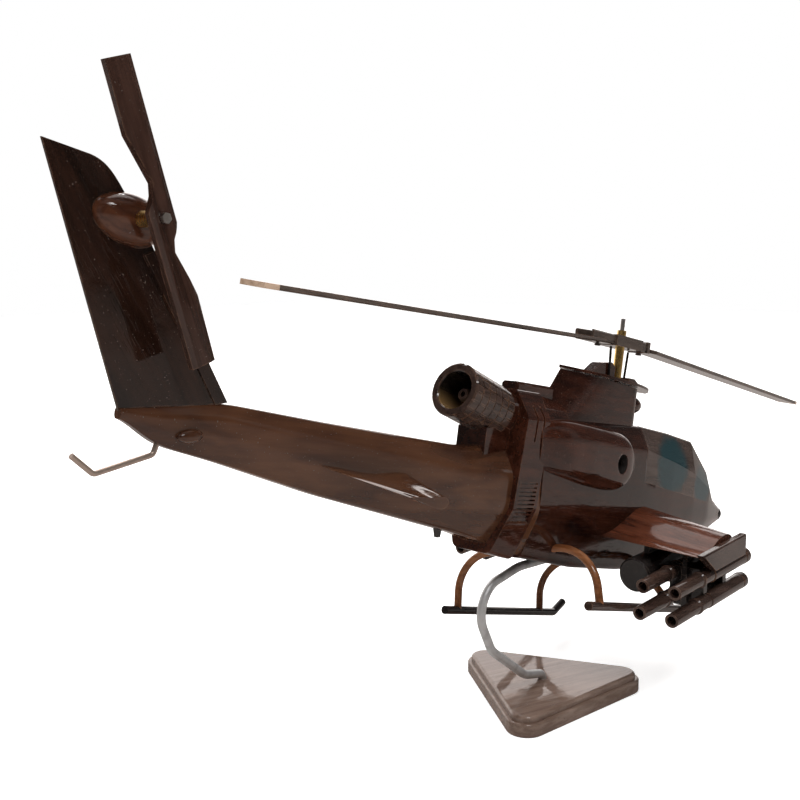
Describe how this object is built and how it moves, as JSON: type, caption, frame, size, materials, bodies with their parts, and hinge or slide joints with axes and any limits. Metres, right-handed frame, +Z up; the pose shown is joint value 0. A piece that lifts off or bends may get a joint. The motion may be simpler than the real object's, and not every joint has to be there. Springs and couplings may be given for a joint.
{
  "type": "helicopter scale model",
  "caption": "Lacquered wooden attack-helicopter display model with turning rotors, stub wings and skids, on a bent metal rod over a triangular base.",
  "frame": {"origin": "centre of the underside of the triangular base", "axes": "+X the way the aircraft points, +Y to its port side, +Z up"},
  "size_m": [0.4763, 0.1128, 0.2298],
  "materials": {
    "lacquered_wood": "gloss",
    "lacquered_dark": "gloss",
    "lacquered_base": "gloss",
    "copper_brown": "gloss",
    "canopy_tint": "gloss",
    "pale_wood": "satin",
    "aluminium_rod": "satin",
    "brass": "polished",
    "bright_steel": "satin",
    "tinned_wire": "satin",
    "black_wire": "gloss"
  },
  "bodies": {
    "airframe": {"base_plate": "lacquered_base", "belly_aerial": "lacquered_dark", "boom_bump_port": "lacquered_wood", "boom_bump_starboard": "lacquered_wood", "canopy": "canopy_tint", "control_rods": "black_wire", "cowl_band": "lacquered_wood", "deck_box": "lacquered_wood", "deck_fairing_front": "lacquered_wood", "deck_fairing_rear": "lacquered_wood", "deck_plate": "lacquered_wood", "doghouse": "lacquered_wood", "doghouse_boss": "lacquered_dark", "end_plate_port": "lacquered_wood", "end_plate_starboard": "lacquered_wood", "engine_cowl_port": "lacquered_wood", "engine_cowl_starboard": "lacquered_wood", "engine_housing": "lacquered_wood", "engine_housing_tail": "lacquered_wood", "exhaust_can": "lacquered_wood", "exhaust_duct": "lacquered_wood", "exhaust_plug": "lacquered_wood", "fin_spine": "lacquered_wood", "fuselage": "lacquered_wood", "gear_bow_front": "copper_brown", "gear_bow_rear": "copper_brown", "gun_turret": "lacquered_dark", "launcher_rack_port": "lacquered_dark", "launcher_rack_starboard": "lacquered_dark", "launcher_tubes_port": "lacquered_wood", "launcher_tubes_starboard": "lacquered_wood", "mast_pin": "bright_steel", "mast_washer": "bright_steel", "nose_sight": "lacquered_wood", "pod_pylon_port": "lacquered_dark", "pod_pylon_starboard": "lacquered_dark", "rocket_pod_port": "lacquered_dark", "rocket_pod_starboard": "lacquered_dark", "skid_port": "lacquered_dark", "skid_starboard": "lacquered_dark", "stabiliser_port": "lacquered_wood", "stabiliser_starboard": "lacquered_wood", "stand_rod": "aluminium_rod", "tail_boom": "lacquered_wood", "tail_bush": "brass", "tail_fin": "lacquered_wood", "tail_gearbox": "lacquered_wood", "tail_screw": "bright_steel", "tail_skid": "tinned_wire", "turret_gun": "lacquered_dark", "wing_port": "lacquered_wood", "wing_starboard": "lacquered_wood"},
    "main_rotor": {"blade_bolts": "bright_steel", "blade_tips": "pale_wood", "mast_tube": "brass", "rotor_blade_front": "lacquered_wood", "rotor_blade_rear": "lacquered_wood", "rotor_yoke": "lacquered_wood"},
    "tail_rotor": {"tail_rotor_blades": "lacquered_wood"}
  },
  "joints": [
    {"name": "main_rotor_spin", "type": "hinge", "parent": "airframe", "child": "main_rotor", "pos_m": [0.058, 0, 0.1441], "axis": [0.1891, 0, 0.982], "continuous": true},
    {"name": "tail_rotor_spin", "type": "hinge", "parent": "airframe", "child": "tail_rotor", "pos_m": [-0.19495, -0.015, 0.19179], "axis": [0, 1, 0], "continuous": true}
  ]
}
